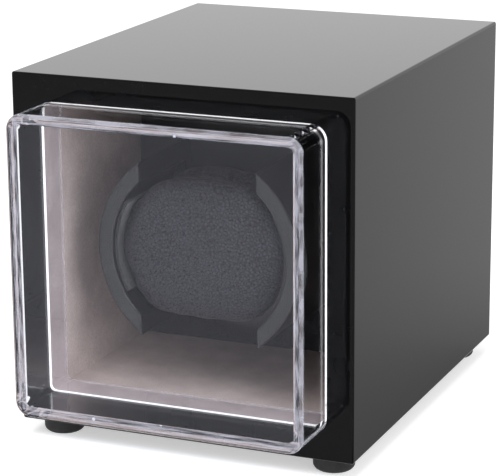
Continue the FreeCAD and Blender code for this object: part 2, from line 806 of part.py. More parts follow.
def all_pieces():
    """Every piece by its node's name."""
    pieces = {"front_frame": front_frame()}
    pieces.update(case_boards())
    for name, (x, depth) in foot_places().items():
        pieces[name] = foot(x, depth)
    pieces["foot_screws"] = Part.makeCompound([foot_screw_shape(x, depth, 0)
                                               for x, depth in foot_places().values()])
    pieces["lining_collar"] = lining_collar()
    pieces.update(lining_boards())
    pieces["lining_back"] = lining_back()
    pieces["acrylic_cover"] = acrylic_cover()
    pieces["rotor_cradle"] = rotor_cradle()
    for side, sign in sides.items():
        pieces["grip_pad_" + side] = grip_pad(sign)
    pieces["pillow_cushion"] = pillow_cushion()
    pieces["pillow_base"] = pillow_base()
    pieces["rotor_hub"] = rotor_hub()
    pieces["hub_screws"] = Part.makeCompound([screw(hub_screw, hub_screw_seat(), x, z, -1)
                                              for x, z in hub_screw_places()])
    pieces["hub_grub_screw"] = grub(hub_grub_depth(), hub_boss_radius, 0)
    pieces["drive_shaft"] = drive_shaft()
    pieces["thrust_washer"] = tube(washer_radius, shaft_radius + running_gap, washer_front,
                                   washer_front + washer_thickness)
    pieces["shaft_clip"] = tube(clip_radius, shaft_radius - clip_groove + press_gap, clip_front + press_gap,
                                clip_front + clip_thickness - press_gap)
    pieces["front_bush"] = flanged_bush(bulkhead_front, bulkhead_rear)
    pieces["rear_bush"] = flanged_bush(plate_front, plate_back)
    pieces["bulkhead"] = bulkhead()
    pieces["output_gear"] = output_gear()
    pieces["gear_grub_screw"] = grub(gear_grub_depth(), hub_boss_radius, 0)
    pieces["idler_gear"] = idler_gear()
    pieces["idler_pin"] = idler_pin()
    pieces["gear_plate"] = gear_plate()
    pieces["plate_posts"] = Part.makeCompound([plate_post(x, z) for x, z in post_places()])
    pieces["plate_screws"] = Part.makeCompound([screw(plate_screw, plate_back, x, z, 1)
                                                for x, z in post_places()])
    pieces["motor_can"] = motor_can()
    pieces["motor_end_cap"] = motor_end_cap()
    pieces["motor_terminals"] = Part.makeCompound([terminal(x, z) for x, z in terminal_places()])
    pieces["motor_leads"] = Part.makeCompound([motor_lead(x, z) for x, z in terminal_places()])
    pieces["motor_screws"] = Part.makeCompound([screw(motor_screw, plate_front, x, z, -1)
                                                for x, z in motor_screw_places()])
    pieces["motor_shaft"] = rod(motor_shaft_radius, motor_pinion_front, plate_back + motor_shaft_hidden,
                                motor_x, motor_z)
    pieces["motor_pinion"] = motor_pinion()
    pieces["circuit_board"] = circuit_board()
    pieces["driver_chip"] = driver_chip()
    pieces["capacitor"] = capacitor()
    pieces["board_screws"] = Part.makeCompound([screw(board_screw, pcb_front, x, z, -1)
                                                for x, z in pcb_screw_places()])
    pieces["dc_jack"] = dc_jack()
    pieces["jack_pin"] = jack_pin()
    pieces["mode_switch"] = mode_switch()
    pieces["mode_knob"] = mode_knob()
    pieces["rear_cover"] = rear_cover()
    for place, (x, z) in rear_screw_places().items():
        pieces["corner_block_" + place] = corner_block(x, z)
    pieces["rear_screws"] = Part.makeCompound([screw(rear_screw, rear_cover_out, x, z, 1)
                                               for x, z in rear_screw_places().values()])
    return pieces


os.makedirs("parts", exist_ok=True)
for name, shape in all_pieces().items():
    shape.exportStep("parts/%s.step" % name)
    print(name, len(shape.Solids), "solid", round(shape.Volume, 2), "mm3, valid", shape.isValid())
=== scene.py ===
"""Dresses the watch winder box: lacquer, clear cover, velvet chamber, leather pillow, fittings and stage.

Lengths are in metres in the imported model's frame: X to the right, Y to the back, Z up.
"""

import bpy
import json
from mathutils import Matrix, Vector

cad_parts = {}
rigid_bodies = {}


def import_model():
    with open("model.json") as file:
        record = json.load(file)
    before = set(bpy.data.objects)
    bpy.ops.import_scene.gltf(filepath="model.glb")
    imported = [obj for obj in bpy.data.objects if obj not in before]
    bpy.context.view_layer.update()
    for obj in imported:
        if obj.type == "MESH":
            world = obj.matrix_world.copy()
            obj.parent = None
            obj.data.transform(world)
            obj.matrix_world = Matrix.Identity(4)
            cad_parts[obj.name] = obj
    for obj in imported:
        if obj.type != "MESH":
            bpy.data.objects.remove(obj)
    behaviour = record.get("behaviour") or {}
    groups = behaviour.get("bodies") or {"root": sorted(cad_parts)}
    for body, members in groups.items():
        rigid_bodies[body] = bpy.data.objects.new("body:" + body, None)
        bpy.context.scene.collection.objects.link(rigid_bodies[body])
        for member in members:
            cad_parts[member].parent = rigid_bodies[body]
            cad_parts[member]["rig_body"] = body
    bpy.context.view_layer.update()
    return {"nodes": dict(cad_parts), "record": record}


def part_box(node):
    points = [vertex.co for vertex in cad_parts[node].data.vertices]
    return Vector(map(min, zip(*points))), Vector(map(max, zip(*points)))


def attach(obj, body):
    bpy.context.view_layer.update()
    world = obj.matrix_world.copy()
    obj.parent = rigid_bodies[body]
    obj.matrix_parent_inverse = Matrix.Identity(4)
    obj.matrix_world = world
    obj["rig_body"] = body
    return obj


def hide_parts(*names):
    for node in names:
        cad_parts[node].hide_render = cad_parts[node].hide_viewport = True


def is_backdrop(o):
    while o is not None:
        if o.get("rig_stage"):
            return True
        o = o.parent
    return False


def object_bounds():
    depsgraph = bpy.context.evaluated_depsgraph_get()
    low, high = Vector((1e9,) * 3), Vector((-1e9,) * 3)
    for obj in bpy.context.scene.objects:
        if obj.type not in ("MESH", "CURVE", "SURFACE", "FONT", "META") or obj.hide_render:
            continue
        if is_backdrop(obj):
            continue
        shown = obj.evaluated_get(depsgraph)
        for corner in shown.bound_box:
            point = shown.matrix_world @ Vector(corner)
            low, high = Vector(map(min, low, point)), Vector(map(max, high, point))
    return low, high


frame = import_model()

import json
import math

import bmesh
import bpy
import numpy as np
from bpy.props import FloatProperty, FloatVectorProperty, IntProperty, PointerProperty
from mathutils import Matrix, Quaternion, Vector

bl_info = {
    "name": "Watch winder box",
    "version": (1, 0, 0),
    "blender": (4, 5, 0),
    "location": "View3D > Sidebar > Winder",
    "description": "Dresses a lacquered watch winder box and lights it on a pale floor",
    "category": "Object",
}

MM = 0.001
MERGE = 0.001 * MM
# Sockets of a colour mix node, which share their names
FACTOR, FIRST, SECOND, MIXED = 0, 6, 7, 2


def linear(hex_colour):
    """Linear red, green and blue of an sRGB hex colour."""
    shares = [int(hex_colour[i:i + 2], 16) / 255 for i in (0, 2, 4)]
    return [c / 12.92 if c <= 0.04045 else ((c + 0.055) / 1.055) ** 2.4 for c in shares]


def length(name, millimetres, description):
    """Length property, given in millimetres."""
    return FloatProperty(name=name, description=description, default=millimetres * MM, min=0.0, unit="LENGTH",
                         precision=5)


def colour(name, hex_colour, description):
    """Colour property, given as sRGB hex."""
    return FloatVectorProperty(name=name, description=description, default=linear(hex_colour), min=0.0,
                               max=1.0, subtype="COLOR", size=3)


def angle(name, degrees, description):
    """Angle property, given in degrees."""
    return FloatProperty(name=name, description=description, default=math.radians(degrees), subtype="ANGLE")


def amount(name, default, description):
    """Plain number property that is never negative."""
    return FloatProperty(name=name, description=description, default=default, min=0.0)


class WinderSizes(bpy.types.PropertyGroup):
    """Sizes of the cover's joint, the soft pieces, the stitches and the screw recesses."""

    cover_panel: length("Cover panel", 2.0, "Thickness of the cover's front panel")
    cover_wall: length("Cover wall", 3.2, "Thickness of the cover's walls")
    cover_corner: length("Cover corner", 4.9, "Radius of the cover's outer corners")
    bond_film: length("Bond film", 0.1, "Thickness of the cement between the front panel and the walls")
    bond_inset: length("Bond inset", 0.1, "How far the cement stops short of the cover's inner faces")
    bond_margin: length("Bond margin", 0.5, "How far the cement stops short of the cover's outer faces")
    pillow_cell: length("Pillow cell", 1.15, "Size of the cells that the pillow's cloth is divided into")
    pillow_inset: length("Pillow inset", 0.75, "How much smaller the pillow starts, before it is stuffed")
    pillow_swell: length("Pillow swell", 1.1, "The furthest that stuffing moves a point of the pillow")
    pillow_frames: IntProperty(name="Stuffing frames", description="Steps of the stuffing", default=20, min=1)
    seam_setback: length("Seam setback", 17.5, "How far behind the pillow's face its side seam runs")
    seam_depth: length("Seam depth", 0.45, "How deep the seam pulls the leathercloth in")
    seam_width: length("Seam width", 0.9, "Half width of the valley at the seam")
    stitch_pitch: length("Stitch pitch", 3.2, "Distance from one stitch to the next")
    stitch_length: length("Stitch length", 2.2, "Length of the thread that shows in one stitch")
    stitch_setback: length("Stitch setback", 1.5, "How far in front of the seam the stitches run")
    thread_radius: length("Thread radius", 0.26, "Half the thickness of the sewing thread")
    recess_share: amount("Recess share", 0.62, "Width of a screw's cross recess as a share of its head")
    recess_slot: amount("Recess slot", 0.17, "Width of one slot of the cross as a share of the head")
    recess_depth: amount("Recess depth", 0.6, "Depth of the cross as a share of the head's height")


class WinderColours(bpy.types.PropertyGroup):
    """Colours of the finishes, each with the tone that varies it."""

    lacquer: colour("Lacquer", "060607", "Black of the polished lacquer")
    lacquer_face: colour("Lacquer face", "666668", "How much the lacquer mirrors when seen straight on")
    lacquer_haze: colour("Lacquer haze", "0B0B0C", "Lacquer where the buffing left a trace of haze")
    acrylic: colour("Acrylic", "FBFCFF", "Faint cool tint of the clear acrylic")
    acrylic_face: colour("Acrylic face", "A1A2AC", "How much the acrylic mirrors when seen straight on")
    bond: colour("Bond", "F0F0FA", "Milky cement in the cover's joint")
    bond_thin: colour("Thin bond", "C4C4D2", "Cement where it ran thin")
    velvet: colour("Velvet", "D8C8C1", "Taupe pile of the chamber's walls")
    # Painted shade of the taupe pile, between the tufts and where the nap leans away
    velvet_nap_shade: colour("Velvet shade", "B8A8A2", "Velvet where the pile lies the other way")
    back_velvet: colour("Back velvet", "3E3E43", "Charcoal pile of the chamber's back")
    # Painted shade of the charcoal pile, between the tufts and where the nap leans away
    back_velvet_nap_shade: colour("Back velvet shade", "2E2E32", "Charcoal pile lying the other way")
    leather: colour("Leathercloth", "3A3A3F", "Pebbles of the black leathercloth")
    # Painted shade: the darker tone that the creases between the pebbles get
    leather_crease_shade: colour("Leathercloth crease", "1A1A1D", "Creases between the pebbles")
    thread: colour("Thread", "161617", "Black sewing thread")
    cradle: colour("Cradle", "131316", "Black of the satin moulded cradle")
    # Painted shade in the hollows of the cradle's moulded grit
    cradle_hollow_shade: colour("Cradle shade", "0D0D0E", "Hollows of the cradle's moulded texture")
    felt: colour("Felt", "151516", "Black pressed felt")
    felt_fibre: colour("Felt fibre", "2A2A2B", "Lighter fibres in the felt")
    rubber: colour("Rubber", "141415", "Black of the moulded feet")
    # Greyer tone on the high spots of the rubber's grit: partly real bloom, partly painted sheen, with the
    # hollows left darker as painted shade
    rubber_bloom_and_sheen: colour("Rubber bloom", "202021", "Greyer bloom on the rubber")
    plastic: colour("Plastic", "161617", "Black of the controls and the rear cover")
    # Painted shade in the hollows of the plastic's moulded grit
    plastic_hollow_shade: colour("Plastic shade", "0E0E0F", "Hollows of the plastic's texture")
    board: colour("Fibreboard", "9C7B58", "Raw fibreboard")
    board_fibre: colour("Fibreboard fibre", "7C5F42", "Dark fibres in the raw board")
    nylon: colour("Nylon", "E6E1D4", "Natural moulded nylon")
    # Painted shade: the darker tone in the hollows of the nylon's moulded grit
    nylon_hollow_shade: colour("Nylon shade", "D8D2C2", "Cloudier parts of the nylon")
    zinc: colour("Zinc", "C6C8CB", "Bright zinc plate")
    steel: colour("Steel", "BDBFC2", "Ground and plated steel")
    oxide: colour("Black oxide", "1B1B1C", "Black oxide on the steel screws")
    brass: colour("Brass", "D2B26A", "Turned brass")
    bronze: colour("Bronze", "A9804F", "Oil-filled sintered bronze")
    bronze_pore: colour("Bronze pore", "6B4A28", "Dark pores of the bronze")
    fibre: colour("Fibre washer", "7A3A2C", "Red vulcanised fibre")
    fibre_low: colour("Fibre shade", "5E2A20", "Darker streaks of the fibre")
    lead: colour("Lead", "9C1F1B", "Red lead insulation")
    # Painted shade: the darker tone in the hollows of the insulation's grit, which are also duller
    lead_hollow_shade: colour("Lead shade", "7C1613", "Duller parts of the insulation")
    solder_mask: colour("Solder mask", "1E6B3A", "Green solder mask")
    solder_mask_track: colour("Solder mask track", "2C8750", "Mask over copper tracks")
    sleeve: colour("Sleeve", "22263F", "Dark blue shrink sleeve")
    # Painted shade: the darker tone in the hollows of the sleeve's moulded grit
    sleeve_hollow_shade: colour("Sleeve shade", "191C30", "Sleeve where it is drawn tighter")
    floor: colour("Floor", "E3E3E3", "Pale studio floor")
    # Painted shade: the card's near end stands for the floor darkened beside the object, seen only mirrored in
    # its right side
    reflected_shade_flag: colour("Side flag", "AEAEAE", "Near end of the grey card that the right side mirrors")
    reflected_shade_flag_far: colour("Side flag end", "F0F0F0", "Far end of the grey card that the right side mirrors")


class WinderStage(bpy.types.PropertyGroup):
    """Camera, lamps and floor."""

    azimuth: angle("Azimuth", 23.23, "How far the camera stands to the right of straight ahead")
    elevation: angle("Elevation", 15.32, "How far the camera stands above the horizon")
    roll: angle("Roll", -0.44, "How far the camera leans")
    distance: length("Distance", 725.9, "From the camera to the point it looks at")
    aim: FloatVectorProperty(name="Aim", description="Point that the camera looks at", subtype="XYZ",
                             unit="LENGTH", size=3, default=(-1.14 * MM, -2.46 * MM, 55.97 * MM))
    lens: FloatProperty(name="Lens", description="Focal length", default=160.67, min=1.0, unit="CAMERA")
    sky: amount("Sky", 1.1, "Strength of the white surroundings that camera, gloss and glass see")
    fill: amount("Fill", 0.6, "Strength of the white surroundings as light on the object")
    top_lamp: FloatProperty(name="Top lamp", description="Power of the softbox above", default=8.0, min=0.0,
                            unit="POWER")
    side_lamp: FloatProperty(name="Side lamp", description="Power of the softbox to the right", default=7.5,
                             min=0.0, unit="POWER")
    floor_reach: length("Floor reach", 4000.0, "Half the side of the floor")
    floor_lift: amount("Floor lift", 0.5, "Light that the floor adds for camera, gloss and glass")


def put(tree, kind, inputs=None, **settings):
    """Add a node. Settings are its properties; inputs are sockets, given values or the sockets to link."""
    made = tree.nodes.new(kind)
    for name, value in settings.items():
        setattr(made, name, value)
    for name, value in (inputs or {}).items():
        if isinstance(value, bpy.types.NodeSocket):
            tree.links.new(value, made.inputs[name])
        else:
            made.inputs[name].default_value = value
    return made


def new_material(name, build):
    """Node material. The build function gets its tree and object coordinates, and returns the shader."""
    made = bpy.data.materials.new(name)
    made.use_nodes = True
    tree = made.node_tree
    tree.nodes.clear()
    where = put(tree, "ShaderNodeTexCoord").outputs["Object"]
    put(tree, "ShaderNodeOutputMaterial", {"Surface": build(tree, where)})
    return made


def opaque(rgb):
    """Colour with full alpha, for a colour socket."""
    return (*rgb, 1.0)


# Materials

def piano_lacquer(tones):
    """Polyester lacquer, flatted and buffed: a black mirror with a trace of haze and orange peel."""
    haze_patch, peel, peel_depth = 9.0 * MM, 1.6 * MM, 0.0008 * MM

    def build(tree, where):
        haze = put(tree, "ShaderNodeTexNoise", {"Vector": where, "Scale": 1 / haze_patch, "Detail": 4.0})
        wave = put(tree, "ShaderNodeTexNoise", {"Vector": where, "Scale": 1 / peel, "Detail": 1.0})
        tone = put(tree, "ShaderNodeMix", {FACTOR: haze.outputs[0], FIRST: opaque(tones.lacquer),
                                           SECOND: opaque(tones.lacquer_haze)}, data_type="RGBA")
        gloss = put(tree, "ShaderNodeMapRange", {"Value": haze.outputs[0], "To Min": 0.015, "To Max": 0.045})
        bump = put(tree, "ShaderNodeBump", {"Height": wave.outputs[0], "Strength": 0.3,
                                            "Distance": peel_depth})
        return put(tree, "ShaderNodeBsdfPrincipled", {
            "Base Color": tone.outputs[MIXED], "Roughness": gloss.outputs[0], "IOR": 1.55,
            "Specular Tint": opaque(tones.lacquer_face), "Normal": bump.outputs[0]}).outputs[0]

    return new_material("piano_lacquer_black", build)


def cast_acrylic(tones):
    """Clear cast acrylic, flame-polished: bright edges, faint rub marks, and it lets the lamps through."""
    rub = 7.0 * MM

    def build(tree, where):
        marks = put(tree, "ShaderNodeTexNoise", {"Vector": where, "Scale": 1 / rub})
        gloss = put(tree, "ShaderNodeMapRange", {"Value": marks.outputs[0], "From Min": 0.45, "From Max": 0.8,
                                                 "To Min": 0.0, "To Max": 0.015})
        glass = put(tree, "ShaderNodeBsdfPrincipled", {
            "Base Color": opaque(tones.acrylic), "Roughness": gloss.outputs[0], "IOR": 1.45,
            "Specular Tint": opaque(tones.acrylic_face), "Transmission Weight": 1.0})
        path = put(tree, "ShaderNodeLightPath")
        light = put(tree, "ShaderNodeMath", {
            0: path.outputs["Is Shadow Ray"], 1: path.outputs["Is Diffuse Ray"]}, operation="MAXIMUM")
        passing = put(tree, "ShaderNodeBsdfTransparent", {"Color": opaque(tones.acrylic)})
        return put(tree, "ShaderNodeMixShader", {0: light.outputs[0], 1: glass.outputs[0],
                                                 2: passing.outputs[0]}).outputs[0]

    return new_material("clear_cast_acrylic", build)


def solvent_cement(tones, middle):
    """Solvent cement in a joint: a milky half-clear film, streaked along the edges, with a few bubbles."""
    streak, run_length, bubble_gap = 0.6 * MM, 12.0 * MM, 7.0 * MM
    bubble_share, clear_alpha, milky_alpha = 0.08, 0.03, 0.32
    # Uneven shares of X and Z, so that no two sides of the joint look alike
    along_edges = (1.0, 0.0, 1.7)

    def build(tree, where):
        place = put(tree, "ShaderNodeVectorMath", {0: where, 1: middle}, operation="SUBTRACT")
        reach = put(tree, "ShaderNodeVectorMath", {0: place.outputs[0]}, operation="ABSOLUTE")
        axes = put(tree, "ShaderNodeSeparateXYZ", {0: reach.outputs[0]})
        out = put(tree, "ShaderNodeMath", {0: axes.outputs["X"], 1: axes.outputs["Z"]}, operation="MAXIMUM")
        across = put(tree, "ShaderNodeMath", {0: out.outputs[0], 1: streak}, operation="DIVIDE")
        trip = put(tree, "ShaderNodeVectorMath", {0: place.outputs[0], 1: along_edges},
                   operation="DOT_PRODUCT")
        along = put(tree, "ShaderNodeMath", {0: trip.outputs["Value"], 1: run_length}, operation="DIVIDE")
        flow = put(tree, "ShaderNodeCombineXYZ", {"X": across.outputs[0], "Y": along.outputs[0]})
        runs = put(tree, "ShaderNodeTexNoise", {"Vector": flow.outputs[0], "Scale": 1.0, "Detail": 2.0})
        bubbles = put(tree, "ShaderNodeTexVoronoi", {"Vector": where, "Scale": 1 / bubble_gap})
        dot = put(tree, "ShaderNodeMath", {0: bubbles.outputs["Distance"], 1: bubble_share},
                  operation="LESS_THAN")
        run = put(tree, "ShaderNodeMix", {FACTOR: runs.outputs[0], FIRST: opaque(tones.bond_thin),
                                          SECOND: opaque(tones.bond)}, data_type="RGBA")
        milk = put(tree, "ShaderNodeMapRange", {"Value": runs.outputs[0], "From Min": 0.38, "From Max": 0.62,
                                                "To Min": clear_alpha, "To Max": milky_alpha})
        cover = put(tree, "ShaderNodeMath", {0: milk.outputs[0], 1: dot.outputs[0]}, operation="MAXIMUM")
        return put(tree, "ShaderNodeBsdfPrincipled", {
            "Base Color": run.outputs[MIXED], "Roughness": 0.6, "IOR": 1.1,
            "Alpha": cover.outputs[0]}).outputs[0]

    return new_material("solvent_cement_film", build)


def velvet(name, pile_tone, shade_tone):
    """Short flocked velvet: a soft pale sheen at grazing angles, with a mottle of painted shade between the
    tufts and where the pile leans either way.
    """
    # The pile is drawn coarser than its 0.15 mm tufts, so that it shows.
    tuft, tuft_depth, nap = 0.45 * MM, 0.12 * MM, 11.0 * MM

    def build(tree, where):
        tufts = put(tree, "ShaderNodeTexNoise", {"Vector": where, "Scale": 1 / tuft, "Detail": 2.0})
        lean = put(tree, "ShaderNodeTexNoise", {"Vector": where, "Scale": 1 / nap, "Detail": 3.0,
                                                "Roughness": 0.6})
        mottle = put(tree, "ShaderNodeMath", {0: tufts.outputs[0], 1: lean.outputs[0]}, operation="MULTIPLY")
        spread = put(tree, "ShaderNodeMapRange", {"Value": mottle.outputs[0], "From Min": 0.12,
                                                  "From Max": 0.4})
        # Painted shade: the darker tone falls between the tufts and where the nap leans away
        tone = put(tree, "ShaderNodeMix", {FACTOR: spread.outputs[0], FIRST: opaque(shade_tone),
                                           SECOND: opaque(pile_tone)}, data_type="RGBA")
        bump = put(tree, "ShaderNodeBump", {"Height": tufts.outputs[0], "Strength": 0.5,
                                            "Distance": tuft_depth})
        return put(tree, "ShaderNodeBsdfPrincipled", {
            "Base Color": tone.outputs[MIXED], "Roughness": 0.95, "Specular IOR Level": 0.1,
            "Sheen Weight": 0.35, "Sheen Roughness": 0.45, "Sheen Tint": opaque(pile_tone),
            "Normal": bump.outputs[0]}).outputs[0]

    return new_material(name, build)


def leathercloth(tones):
    """Embossed polyurethane leathercloth: small pebbles, dull creases painted darker as shade, and a low satin
    shine.
    """
    pebble, pebble_height, warp = 1.0 * MM, 0.08 * MM, 2.0 * MM
    warp_share = 0.35

    def build(tree, where):
        drift = put(tree, "ShaderNodeTexNoise", {"Vector": where, "Scale": 1 / warp, "Detail": 2.0})
        moved = put(tree, "ShaderNodeVectorMath", {0: drift.outputs["Color"], 1: [warp_share * pebble] * 3,
                                                   2: where}, operation="MULTIPLY_ADD")
        cells = put(tree, "ShaderNodeTexVoronoi", {"Vector": moved.outputs[0], "Scale": 1 / pebble},
                    feature="DISTANCE_TO_EDGE")
        rise = put(tree, "ShaderNodeMapRange", {"Value": cells.outputs["Distance"], "From Min": 0.0,
                                                "From Max": 0.22}, interpolation_type="SMOOTHSTEP")
        # Painted shade: the creases between the pebbles get the darker tone, the pebble tops the leathercloth's
        # own
        tone = put(tree, "ShaderNodeMix", {FACTOR: rise.outputs[0], FIRST: opaque(tones.leather_crease_shade),
                                           SECOND: opaque(tones.leather)}, data_type="RGBA")
        gloss = put(tree, "ShaderNodeMapRange", {"Value": rise.outputs[0], "To Min": 0.75, "To Max": 0.55})
        bump = put(tree, "ShaderNodeBump", {"Height": rise.outputs[0], "Strength": 0.8,
                                            "Distance": pebble_height})
        return put(tree, "ShaderNodeBsdfPrincipled", {
            "Base Color": tone.outputs[MIXED], "Roughness": gloss.outputs[0], "IOR": 1.4,
            "Normal": bump.outputs[0]}).outputs[0]

    return new_material("grained_black_leathercloth", build)


def textured(name, tones, noise, finish, gloss=None, relief=None, stretch=None, span=None):
    """Material that one noise varies: its colour between two tones and, if given, its gloss and relief."""

    def build(tree, where):
        spot = where
        if stretch:
            spot = put(tree, "ShaderNodeMapping", {"Vector": where, "Scale": stretch}).outputs[0]
        grain = put(tree, "ShaderNodeTexNoise", {"Vector": spot, **noise}).outputs[0]
        share = grain
        if span:
            share = put(tree, "ShaderNodeMapRange", {"Value": grain, "From Min": span[0],
                                                     "From Max": span[1]}).outputs[0]
        tone = put(tree, "ShaderNodeMix", {FACTOR: share, FIRST: opaque(tones[0]), SECOND: opaque(tones[1])},
                   data_type="RGBA")
        inputs = {"Base Color": tone.outputs[MIXED], **finish}
        if gloss:
            inputs["Roughness"] = put(tree, "ShaderNodeMapRange", {"Value": grain, "To Min": gloss[0],
                                                                   "To Max": gloss[1]}).outputs[0]
        if relief:
            inputs["Normal"] = put(tree, "ShaderNodeBump", {"Height": grain, "Strength": relief[0],
                                                            "Distance": relief[1]}).outputs[0]
        return put(tree, "ShaderNodeBsdfPrincipled", inputs).outputs[0]

    return new_material(name, build)


def sewing_thread(tones):
    """Bonded polyester thread: fine twisted plies with a slight shine."""
    ply, ply_depth = 0.35 * MM, 0.05 * MM
    return textured("black_sewing_thread", (tones.thread, tones.felt_fibre), {"Scale": 1 / ply},
                    {"Roughness": 0.5, "Sheen Weight": 0.2}, relief=(0.4, ply_depth))


def moulded(name, high_tone, hollow_shade_tone, grit, gloss_range, depth):
    """Moulding from a textured tool: fine even grit, whose hollows are painted darker as shade and are duller
    than its high spots.
    """
    # Painted shade: the grit's hollows, low in its relief, get the darker tone
    return textured(name, (hollow_shade_tone, high_tone), {"Scale": 1 / grit, "Detail": 3.0}, {"IOR": 1.5},
                    gloss=gloss_range[::-1], relief=(0.5, depth))


def pressed_felt(tones):
    """Pressed wool felt: matted fibres that catch a dim sheen."""
    fibre, fibre_depth = 0.5 * MM, 0.15 * MM
    return textured("pressed_black_felt", (tones.felt, tones.felt_fibre),
                    {"Scale": 1 / fibre, "Detail": 5.0, "Distortion": 1.5},
                    {"Roughness": 0.95, "Sheen Weight": 0.3, "Sheen Roughness": 0.6},
                    relief=(0.7, fibre_depth))


def worked_metal(name, tone, line, stretch, gloss_range):
    """Turned, ground or plated metal: fine tool lines along one way, which spread its highlights."""
    line_depth, dimmed = 0.01 * MM, 0.8
    return textured(name, (tone, [dimmed * c for c in tone]), {"Scale": 1 / line, "Detail": 3.0},
                    {"Metallic": 1.0}, gloss=gloss_range, relief=(0.2, line_depth), stretch=stretch)


def black_oxide(tones):
    """Hot black oxide on steel: near-black, oiled, with a soft metallic glint on worn spots."""
    wear, worn_gain = 0.6 * MM, 2.2
    return textured("black_oxide_steel", (tones.oxide, [worn_gain * c for c in tones.oxide]),
                    {"Scale": 1 / wear, "Detail": 4.0}, {"Metallic": 0.6}, gloss=(0.32, 0.5))


def speckled(name, base_tone, speck_tone, speck, metallic, rough, depth):
    """Pressed or sintered stuff: a base with dark specks or fibres scattered through it."""
    return textured(name, (base_tone, speck_tone), {"Scale": 1 / speck, "Detail": 4.0, "Roughness": 0.65},
                    {"Metallic": metallic, "Roughness": rough}, relief=(0.4, depth), span=(0.42, 0.62))


def studio_floor(tones, stage):
    """Matt pale card. It takes the object's shadow, and is lifted to white where it is seen."""

    def build(tree, where):
        card = put(tree, "ShaderNodeBsdfDiffuse", {"Color": opaque(tones.floor)})
        lift = put(tree, "ShaderNodeMath", {0: seen_ray(tree), 1: stage.floor_lift}, operation="MULTIPLY")
        glow = put(tree, "ShaderNodeEmission", {"Strength": lift.outputs[0]})
        return put(tree, "ShaderNodeAddShader", {0: card.outputs[0], 1: glow.outputs[0]}).outputs[0]

    return new_material("pale_floor_card", build)


def reflected_shade_card(name, along, fade):
    """Matt card, darker at its near end and fading along its length: painted shade, which the lacquer mirrors as
    a soft dark field.
    """

    def build(tree, where):
        spot = put(tree, "ShaderNodeSeparateXYZ", {0: where})
        share = put(tree, "ShaderNodeMapRange", {"Value": spot.outputs["Y"], "From Min": along[0],
                                                 "From Max": along[1]})
        tone = put(tree, "ShaderNodeMix", {FACTOR: share.outputs[0], FIRST: opaque(fade[0]),
                                           SECOND: opaque(fade[1])}, data_type="RGBA")
        return put(tree, "ShaderNodeBsdfDiffuse", {"Color": tone.outputs[MIXED]}).outputs[0]

    return new_material(name, build)


def seen_ray(tree):
    """1 for rays from the camera, off gloss or through glass, else 0."""
    path = put(tree, "ShaderNodeLightPath")
    near = put(tree, "ShaderNodeMath", {0: path.outputs["Is Camera Ray"], 1: path.outputs["Is Glossy Ray"]},
               operation="MAXIMUM")
    return put(tree, "ShaderNodeMath", {0: near.outputs[0], 1: path.outputs["Is Transmission Ray"]},
               operation="MAXIMUM").outputs[0]


# Making pieces

def dress(material, slot):
    """Give a material to every CAD piece that the record puts in a slot."""
    nodes = [entry["node"] for entry in frame["record"]["subparts"] if entry["material_slot"] == slot]
    if not nodes:
        raise RuntimeError(f"no piece has the slot {slot}")
    for node in nodes:
        frame["nodes"][node].material_slots[0].material = material


def merged_form(node):
    """Copy of a CAD piece's mesh with its split corners merged."""
    form = bmesh.new()
    form.from_mesh(frame["nodes"][node].data)
    bmesh.ops.remove_doubles(form, verts=form.verts, dist=MERGE)
    return form


def new_piece(name, mesh, body, slot, material, *nodes):
    """Put a finished mesh in the scene as a piece that rides on a body, in place of the nodes named."""
    piece = bpy.data.objects.new(name, mesh)
    bpy.context.scene.collection.objects.link(piece)
    mesh.materials.clear()
    mesh.materials.append(material)
    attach(piece, body)
    if nodes:
        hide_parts(*nodes)
    return piece


def baked(source):
    """Plain mesh of an object with its modifiers applied."""
    bpy.context.view_layer.update()
    return bpy.data.meshes.new_from_object(source.evaluated_get(bpy.context.evaluated_depsgraph_get()))


def scratch_object(name, mesh):
    """Object for a step of the making, removed again when its result is baked."""
    made = bpy.data.objects.new(name, mesh)
    bpy.context.scene.collection.objects.link(made)
    return made


def grow(name, mesh, tree, values):
    """Mesh that a node tree grows from a source mesh, with the tree's inputs given by name."""
    source = scratch_object(name, mesh)
    grower = source.modifiers.new(name, "NODES")
    grower.node_group = tree
    for item in tree.interface.items_tree:
        if item.in_out == "INPUT" and item.name in values:
            grower[item.identifier] = values[item.name]
    grown = baked(source)
    bpy.data.objects.remove(source)
    if not grown.polygons:
        raise RuntimeError(f"{name} grew nothing")
    return grown


def new_tree(name, inputs):
    """Geometry tree with a geometry input and these further inputs, as name and socket type."""
    tree = bpy.data.node_groups.new(name, "GeometryNodeTree")
    tree.interface.new_socket("Geometry", in_out="INPUT", socket_type="NodeSocketGeometry")
    tree.interface.new_socket("Geometry", in_out="OUTPUT", socket_type="NodeSocketGeometry")
    for label, kind in inputs.items():
        tree.interface.new_socket(label, in_out="INPUT", socket_type=kind)
    return tree, put(tree, "NodeGroupInput").outputs


